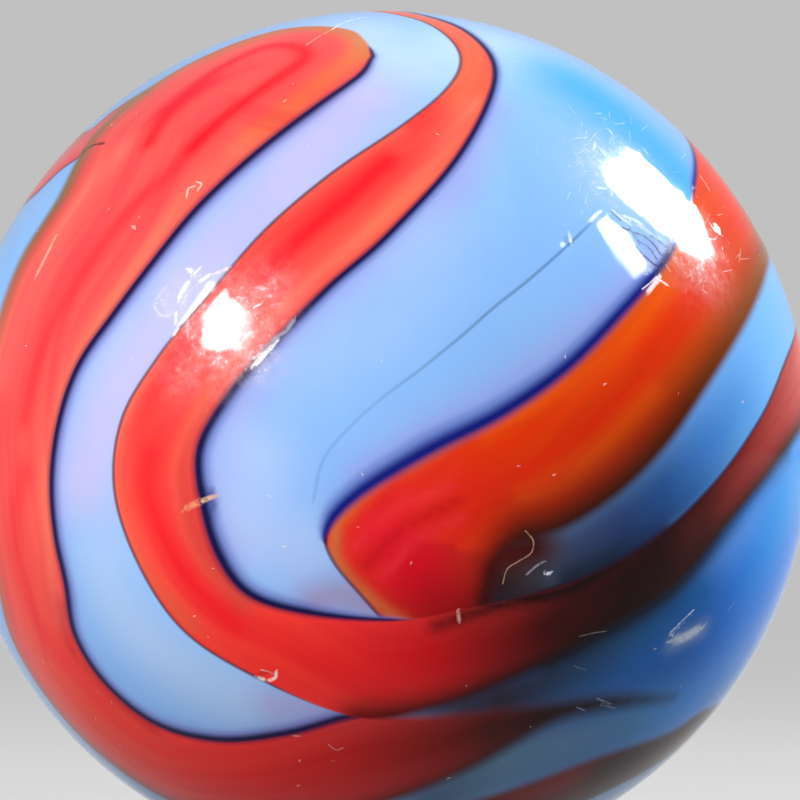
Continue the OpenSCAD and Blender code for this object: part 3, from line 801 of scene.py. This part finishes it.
# a band's edge: (widths from it where each colour is full, where it is gone, strength)
HALO_OUTSIDE = (0.8, 3.2, 0.25)
RIM_OUTSIDE = (0.70, 2.10, 0.75)
SEAM_OUTSIDE = (0.40, 1.20, 1.0)
SEAM_INSIDE = (0.0, 0.7, 0.55)
HAIR_BESIDE = (0.2, 1.1, 0.72)
NO_WIDTH = 1e-3  # mm; keeps widths from dividing by zero
FULL_WIDTH = 0.05  # mm; a seam or hairline that is narrower is fainter

CRACK_LINE = "#2E4A8C"
CRACK_SOFT = (0.008, 0.050)  # mm from its middle where the line is full, and gone
CRACK_STARTS = (0.0, 0.08)  # shares of its length over which it comes in
CRACK_PALES = (0.33, 0.75)  # and over which it pales
CRACK_STRENGTH = (0.50, 0.20)  # before and after
CRACK_LIMIT = (0.85, 0.92)  # nearness over which it comes in

# noises in the glass, with scales in cells to a metre
CLOUD = {"scale": 300.0, "detail": 3.0, "warp": 0.6}
SWELL = {"scale": 260.0, "detail": 1.0}
RUB = {"scale": 900.0, "detail": 4.0, "rough": 0.6}
GRIT = {"scale": 4200.0, "detail": 3.0, "rough": 0.7}
WORN = {"scale": 9000.0, "rough": 0.6}

CLOUD_SPAN = (0.32, 0.68)
VEIL = (0.90, 0.94, 0.98, 1.0)  # the faint tint of the clouds in the base
MARK_SOFT = (0.3, 1.2)  # half widths from its middle where a mark is full, and gone
MARK_LIMIT = (0.60, 0.75)  # nearness over which it comes in
MARK_WORN = (0.36, 0.52, 0.50, 1.0)  # the span of the worn noise, and what it leaves of a mark
HAZE = (0.35, 1.0)  # how dull a scuff is between its grit, and on it
PAINTED_BLOOM = (0.95, 0.84, 0.88, 1.0)  # painted bloom: the pale glow round the highlights, on the scuffed glass
PAINTED_BLOOM_SHARE = 0.42
GLINT_WORN = (0.54, 0.64)  # painted white glints, where both noise and haze are high
GLINT_HAZE = (0.20, 0.70)
GLINT_SHARE = 0.5

ROUGHNESS = (0.45, 0.75, 0.05, 0.14)  # the span of the rub noise, and the roughness that it gives
MARK_ROUGHNESS = 0.30  # what a scratch adds
GRIT_RELIEF = 0.05  # height of the scuffs' grit, where the swell's is 1
BUMP_STRENGTH = 0.12
BUMP_DISTANCE = 0.0001  # metres
COAT_SHARE = 0.4  # of a dull coat where the haze is full
COAT_ROUGHNESS = 0.30
GLASS_IOR = 1.5
SPECULAR_LEVEL = 0.10  # below glass's 0.5, because the pale background greys the darks


def stretched(paint, along, across, cells, seed, detail):
    """Noise with its own number of cells to a mm along a band and across it."""
    place = paint.place(paint.times(along, cells[0]), paint.times(across, cells[1]), seed)
    return paint.noise(place, detail=detail)


def streaks(paint, along, across, seed):
    """Streaks that run along a band, from 0, dark, to 1, bright."""
    sway = stretched(paint, along, across, SWAY_CELLS, seed, 2.0)
    bent = paint.calc("ADD", sway, across)
    wide = stretched(paint, along, bent, WIDE_CELLS, seed, 1.0)
    fine = stretched(paint, along, bent, FINE_CELLS, seed, 1.0)
    return paint.calc("MULTIPLY_ADD", fine, FINE_SHARE, paint.times(wide, WIDE_SHARE))


def beside(paint, gap, width, full, gone, most):
    """A strength that falls from most to nothing between two gaps from an edge, in widths."""
    widths = paint.calc("DIVIDE", gap, paint.calc("ADD", width, NO_WIDTH))
    share = paint.ramp(widths, full, gone, most, 0.0)
    return paint.times(share, paint.ramp(width, 0.0, FULL_WIDTH))


def lay_band(paint, under, band, seed):
    """A band over a look: rings and seam outside its edge, its colour, seam inside, and hairline."""
    seam, rim = (colour(code) for code in LAYERS[band])
    along, across, inside = paint.parts(band)
    blur, navy, hair = paint.parts(band + "_edge")
    outside = paint.times(inside, -1.0)
    under = paint.mix(beside(paint, outside, navy, *HALO_OUTSIDE), under, colour(HALO))
    under = paint.mix(beside(paint, outside, navy, *RIM_OUTSIDE), under, rim)
    under = paint.mix(beside(paint, outside, navy, *SEAM_OUTSIDE), under, seam)
    tint = paint.field(band + "_tint")
    streaked = paint.ramp(streaks(paint, along, across, seed), *NOISE_SPAN)
    shade = paint.mix(streaked, DARK_STREAK, BRIGHT_STREAK)
    body = paint.mix(paint.ramp(along, *STREAKS_START, *STREAKS_SHARE), tint, shade, "MULTIPLY")
    body = paint.mix(beside(paint, inside, navy, *SEAM_INSIDE), body, seam)
    look = paint.mix(paint.ramp(paint.calc("DIVIDE", inside, blur), -1.0, 1.0), under, body)
    hairline = beside(paint, paint.calc("ABSOLUTE", inside), hair, *HAIR_BESIDE)
    return paint.mix(hairline, look, colour(HAIRLINE))


def draw_crack(paint, look):
    """The look with the crack's dark line on it."""
    gap, at, near = paint.parts("crack")
    fade = paint.times(paint.ramp(at, *CRACK_STARTS), paint.ramp(at, *CRACK_PALES, *CRACK_STRENGTH))
    line = paint.ramp(paint.calc("ABSOLUTE", gap), *CRACK_SOFT, 1.0, 0.0)
    line = paint.times(line, fade)
    line = paint.times(line, paint.ramp(near, *CRACK_LIMIT))
    return paint.mix(line, look, colour(CRACK_LINE))


def layered_look(paint, spot):
    """The clean glass: the clouded base, the bands and the crack."""
    cloud = paint.ramp(paint.noise(spot, **CLOUD), *CLOUD_SPAN)
    veil = paint.mix(cloud, VEIL, WHITE)
    look = paint.mix(1.0, paint.field("base_tint"), veil, "MULTIPLY")
    for number, band in enumerate(LAYERS):
        look = lay_band(paint, look, band, SEED_STEP*number)
    return draw_crack(paint, look)


def mark_share(paint, worn):
    """How strongly the scratches, specks and painted glints show."""
    away, strength, near = paint.parts("marks")
    mark = paint.ramp(paint.calc("ABSOLUTE", away), *MARK_SOFT, 1.0, 0.0)
    mark = paint.times(mark, strength)
    mark = paint.times(mark, paint.ramp(near, *MARK_LIMIT))
    return paint.times(mark, paint.ramp(worn, *MARK_WORN))


def with_painted_bloom(paint, look, haze_and_bloom, worn):
    """The look with the painted bloom and the painted white glints round the highlights, on scuffed glass.
    """
    look = paint.mix(paint.times(haze_and_bloom, PAINTED_BLOOM_SHARE), look, PAINTED_BLOOM)
    glint = paint.times(paint.ramp(worn, *GLINT_WORN), paint.ramp(haze_and_bloom, *GLINT_HAZE))
    return paint.mix(paint.times(glint, GLINT_SHARE), look, WHITE)


def surface_bump(paint, spot, scuff_and_bloom, grit):
    """The slow swell of the surface, and the grit of its scuffs."""
    scuffed = paint.times(scuff_and_bloom, grit)
    relief = paint.calc("MULTIPLY_ADD", scuffed, GRIT_RELIEF, paint.noise(spot, **SWELL))
    bump = paint.node("Bump", {"Strength": BUMP_STRENGTH, "Distance": BUMP_DISTANCE, "Height": relief})
    return bump.outputs[0]


def marble_glass():
    """Polished glass with its layers of colour, scratched and scuffed, with painted bloom and glints round
    its highlights.
    """
    material = bpy.data.materials.new("marble_glass")
    paint = Paint(material)
    spot = paint.node("TexCoord").outputs["Object"]
    worn = paint.noise(spot, **WORN)
    grit = paint.noise(spot, **GRIT)
    scuff_and_bloom = paint.field("scuffs_and_bloom", "Fac")
    # the scuffs' haze: a duller coat, and where the painted bloom and glints lie
    haze_and_bloom = paint.times(scuff_and_bloom, paint.ramp(grit, *NOISE_SPAN, *HAZE))
    mark = mark_share(paint, worn)
    look = with_painted_bloom(paint, layered_look(paint, spot), haze_and_bloom, worn)
    look = paint.mix(mark, look, paint.field("mark_tint"))
    rough = paint.ramp(paint.noise(spot, **RUB), *ROUGHNESS)
    shader = paint.node("BsdfPrincipled", {
        "Base Color": look,
        "Roughness": paint.calc("MULTIPLY_ADD", mark, MARK_ROUGHNESS, rough),
        "Normal": surface_bump(paint, spot, scuff_and_bloom, grit),
        "Coat Weight": paint.times(haze_and_bloom, COAT_SHARE)})
    shader.inputs["Coat Roughness"].default_value = COAT_ROUGHNESS
    shader.inputs["Coat IOR"].default_value = GLASS_IOR
    shader.inputs["IOR"].default_value = GLASS_IOR
    shader.inputs["Specular IOR Level"].default_value = SPECULAR_LEVEL
    paint.end(shader)
    return material


# ---- camera, lamps, floor and world
PICTURE = 800  # pixels of the picture's side
CIRCLE_MIDDLE = (382, 440)  # the ball's outline in the picture, in pixels
CIRCLE_R = 429.5
CAMERA_AWAY = 60  # in radii of the ball
SENSOR = 36.0  # mm
CLIP = (0.01, 5.0)  # metres

PANEL_AWAY = 0.25  # metres from the glass
MIRRORED_GAIN = 2.5  # how much brighter a panel is mirrored than it lights
# the highlights: each panel's level, and the outline, in pixels, that it is mirrored as
MIRRORED_PANELS = {
    "panel_right": (27.0,
        "602 173, 604 166, 609 160, 613 162, 618 157, 622 155, 626 148, 631 151, 638 154, 639 160, "
        "647 163, 654 169, 662 177, 671 187, 681 193, 684 202, 684 213, 694 206, 699 217, 703 229, "
        "707 240, 714 253, 702 260, 688 254, 679 250, 674 240, 668 238, 660 233, 651 228, 648 222, "
        "641 218, 634 212, 626 205, 620 198, 614 191, 606 186"),
    "panel_right_low": (27.0,
        "595 223, 599 219, 607 217, 611 222, 619 228, 626 231, 629 239, 634 246, 638 254, 644 261, "
        "650 267, 649 273, 641 274, 633 279, 629 275, 624 267, 617 261, 611 252, 604 241, 598 231"),
    "panel_left": (42.0,
        "203 341, 205 330, 207 322, 201 319, 203 316, 211 314, 213 307, 211 302, 217 296, 225 290, "
        "229 294, 230 300, 237 302, 243 306, 244 313, 252 317, 251 325, 248 333, 248 342, 244 351, "
        "233 349, 219 352, 206 349"),
}
# panels that only light the ball: level, then middle, half width and half height in metres
SOFT_PANELS = {
    "panel_soft_left": (5.4, (-0.18, -0.28, 0.02), 0.30, 0.04),
    "panel_soft_right": (2.0, (0.28, -0.12, 0.05), 0.12, 0.05),
}

WORLD_LIGHT = 0.17  # what the world lights the ball with
BACKGROUND = 0.53  # what the camera and mirrors see, of world and floor alike
FLOOR_TONE = 0.18  # the floor's own matt tone, which takes the shadow
FLOOR_R = 1.5  # metres
FLOOR_SIDES = 96


def make_camera():
    """A camera far in front, framed as the photograph is."""
    cam = bpy.data.objects.new("camera", bpy.data.cameras.new("camera"))
    bpy.context.scene.collection.objects.link(cam)
    per_mm = CIRCLE_R/BALL_R
    aside = (PICTURE/2 - CIRCLE_MIDDLE[0])/per_mm
    above = (CIRCLE_MIDDLE[1] - PICTURE/2)/per_mm
    cam.location = Vector((aside, -CAMERA_AWAY*BALL_R, above))*MM
    cam.rotation_euler = (math.radians(90), 0, 0)
    cam.data.sensor_width = SENSOR
    cam.data.lens = CIRCLE_R*math.sqrt(CAMERA_AWAY**2 - 1)*SENSOR/PICTURE
    cam.data.clip_start, cam.data.clip_end = CLIP
    bpy.context.scene.camera = cam


def mirrored_at(pixel):
    """Where a panel has to be for the ball to mirror it at a pixel."""
    x = (pixel[0] - CIRCLE_MIDDLE[0])/CIRCLE_R
    z = (CIRCLE_MIDDLE[1] - pixel[1])/CIRCLE_R
    normal = Vector((x, -math.sqrt(1 - x*x - z*z), z))
    view = Vector((0, -1, 0))
    return normal*BALL_R*MM + (2*normal.dot(view)*normal - view)*PANEL_AWAY


def panel_light(name, level, front_shines):
    """A lamp's light, from one side of its faces only."""
    material = bpy.data.materials.new(name + "_light")
    paint = Paint(material)
    back = paint.node("NewGeometry").outputs["Backfacing"]
    shining = paint.calc("SUBTRACT", 1.0, back) if front_shines else back
    paint.end(paint.node("Emission", {"Strength": paint.times(shining, level)}))
    return material


def make_panel(name, level, corners):
    """A panel through its corners that shines towards the ball."""
    middle = sum(corners, Vector())/len(corners)
    faces = [(len(corners), i, (i + 1) % len(corners)) for i in range(len(corners))]
    mesh = bpy.data.meshes.new(name)
    mesh.from_pydata([tuple(c) for c in corners + [middle]], [], faces)
    front_to_ball = (corners[0] - middle).cross(corners[1] - middle).dot(middle) < 0
    mesh.materials.append(panel_light(name, level, front_to_ball))
    panel = bpy.data.objects.new(name, mesh)
    bpy.context.scene.collection.objects.link(panel)
    panel.visible_camera = False
    return panel


def make_panels():
    """Each highlight's panel twice, to light and to be mirrored, and the soft ones."""
    for name, (level, outline) in MIRRORED_PANELS.items():
        corners = [mirrored_at(pixel) for pixel in places_of(outline)]
        make_panel(name, level, corners).visible_glossy = False
        mirrored = make_panel(name + "_mirrored", level*MIRRORED_GAIN, corners)
        mirrored.visible_diffuse = False
        mirrored.visible_shadow = False
    for name, (level, place, half_wide, half_high) in SOFT_PANELS.items():
        middle = Vector(place)
        wide = middle.cross(Vector((0, 0, 1))).normalized()*half_wide
        high = wide.cross(middle).normalized()*half_high
        corners = [middle + wide*i + high*k for i, k in ((-1, -1), (1, -1), (1, 1), (-1, 1))]
        make_panel(name, level, corners).visible_glossy = False


def seen_share(paint):
    """1 for rays of the camera, mirrors and glass, 0 for the rest."""
    path = paint.node("LightPath").outputs
    seen = paint.calc("MAXIMUM", path["Is Camera Ray"], path["Is Glossy Ray"])
    return paint.calc("MAXIMUM", seen, path["Is Transmission Ray"])


def make_world():
    """A plain world, dimmer as a light than it looks."""
    world = bpy.data.worlds.new("world")
    bpy.context.scene.world = world
    paint = Paint(world)
    level = paint.ramp(seen_share(paint), 0.0, 1.0, WORLD_LIGHT, BACKGROUND)
    paint.end(paint.node("Background", {"Color": WHITE, "Strength": level}), "OutputWorld")


def floor_paint():
    """A matt floor that the camera and mirrors see as light as the background."""
    material = bpy.data.materials.new("floor_paint")
    paint = Paint(material)
    glow = paint.times(seen_share(paint), BACKGROUND - FLOOR_TONE*WORLD_LIGHT)
    matt = paint.node("BsdfDiffuse", {"Color": (FLOOR_TONE, FLOOR_TONE, FLOOR_TONE, 1.0)})
    lit = paint.node("Emission", {"Color": WHITE, "Strength": glow})
    paint.end(paint.node("AddShader", {0: matt.outputs[0], 1: lit.outputs[0]}))
    material.cycles.emission_sampling = "NONE"
    return material


def make_floor():
    """A round floor under the ball's lowest point."""
    bm = bmesh.new()
    bmesh.ops.create_circle(bm, cap_ends=True, segments=FLOOR_SIDES, radius=FLOOR_R)
    mesh = bpy.data.meshes.new("floor")
    bm.to_mesh(mesh)
    bm.free()
    floor = bpy.data.objects.new("floor", mesh)
    bpy.context.scene.collection.objects.link(floor)
    floor.location.z = low[2]
    mesh.materials.append(floor_paint())


marble = bpy.data.objects.new("marble_glass", marble_mesh())
bpy.context.scene.collection.objects.link(marble)
marble.data.materials.append(marble_glass())
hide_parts("marble")
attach(marble, "root")

make_camera()
make_panels()
make_world()
make_floor()
bpy.context.scene.view_settings.view_transform = "Standard"
